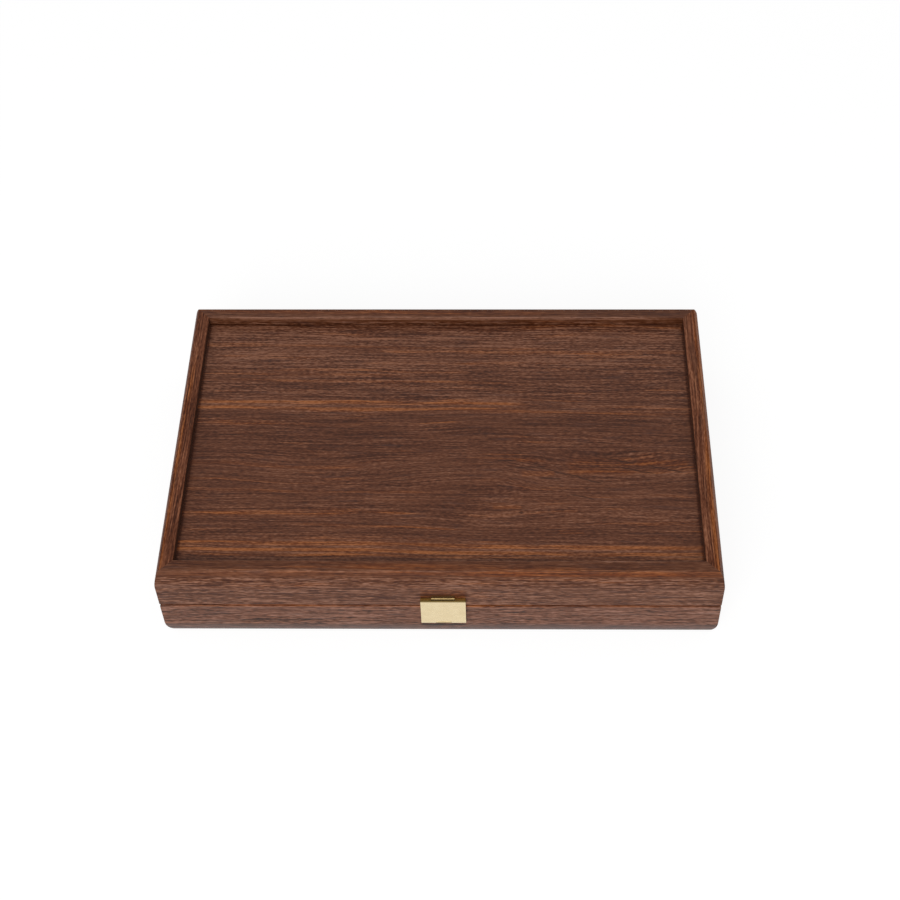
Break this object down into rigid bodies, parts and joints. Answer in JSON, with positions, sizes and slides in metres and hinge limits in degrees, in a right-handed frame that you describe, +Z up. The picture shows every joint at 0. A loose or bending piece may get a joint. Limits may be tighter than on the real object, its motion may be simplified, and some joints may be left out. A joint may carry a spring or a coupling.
{
  "type": "backgammon board",
  "caption": "Folding wooden backgammon case with mitred moulded rims, recessed panels, inlaid points, back hinges and a brass front clasp, holding its checkers and dice.",
  "frame": {"origin": "on the table, under the middle of the closed case", "axes": "+X along the case to the right, +Y from the clasp towards the hinges, +Z up"},
  "size_m": [0.3, 0.1992, 0.056],
  "materials": {
    "moulding": "satin walnut wrap on a moulded rail",
    "walnut_veneer": "open-pored dark walnut veneer, satin",
    "board": "bare fibreboard",
    "field_ground": "walnut veneer, satin lacquer",
    "light_inlay": "oak veneer, satin lacquer",
    "dark_inlay": "wenge veneer, satin lacquer",
    "light_checker": "turned beech, satin lacquer",
    "dark_checker": "turned walnut, satin lacquer",
    "die": "polished ivory white with dark pips",
    "hinge_brass": "brushed",
    "clasp_brass": "fine satin, bare of any engraving"
  },
  "bodies": {
    "base": {"base_front_rail": "moulding", "base_back_rail": "moulding", "base_left_rail": "moulding", "base_right_rail": "moulding", "base_outer_veneer": "walnut_veneer", "base_panel_core": "board", "base_field_veneer": "field_ground", "base_light_points": "light_inlay", "base_dark_points": "dark_inlay", "hinge_left_base_leaf": "hinge_brass", "hinge_left_pin": "hinge_brass", "hinge_right_base_leaf": "hinge_brass", "hinge_right_pin": "hinge_brass", "hinge_base_screws": "hinge_brass", "latch_base_plate": "clasp_brass", "latch_pin": "clasp_brass", "latch_base_brads": "clasp_brass", "light_checkers_row_1": "light_checker", "light_checkers_row_2": "light_checker", "light_checkers_row_3": "light_checker", "dark_checkers_row_1": "dark_checker", "dark_checkers_row_2": "dark_checker", "dark_checkers_row_3": "dark_checker", "die_1": "die", "die_2": "die"},
    "lid": {"lid_front_rail": "moulding", "lid_back_rail": "moulding", "lid_left_rail": "moulding", "lid_right_rail": "moulding", "lid_outer_veneer": "walnut_veneer", "lid_panel_core": "board", "lid_field_veneer": "field_ground", "lid_light_points": "light_inlay", "lid_dark_points": "dark_inlay", "hinge_left_lid_leaf": "hinge_brass", "hinge_right_lid_leaf": "hinge_brass", "hinge_lid_screws": "hinge_brass", "latch_strike": "clasp_brass", "latch_strike_brads": "clasp_brass"},
    "latch_flap": {"latch_flap": "clasp_brass"}
  },
  "joints": [
    {"name": "lid_hinge", "type": "hinge", "parent": "base", "child": "lid", "pos_m": [0, 0.0974, 0.028], "axis": [-1, 0, 0], "range_deg": [0, 180]},
    {"name": "latch_hinge", "type": "hinge", "parent": "base", "child": "latch_flap", "pos_m": [0.0018, -0.0983, 0.0154], "axis": [1, 0, 0], "range_deg": [0, 110]}
  ]
}
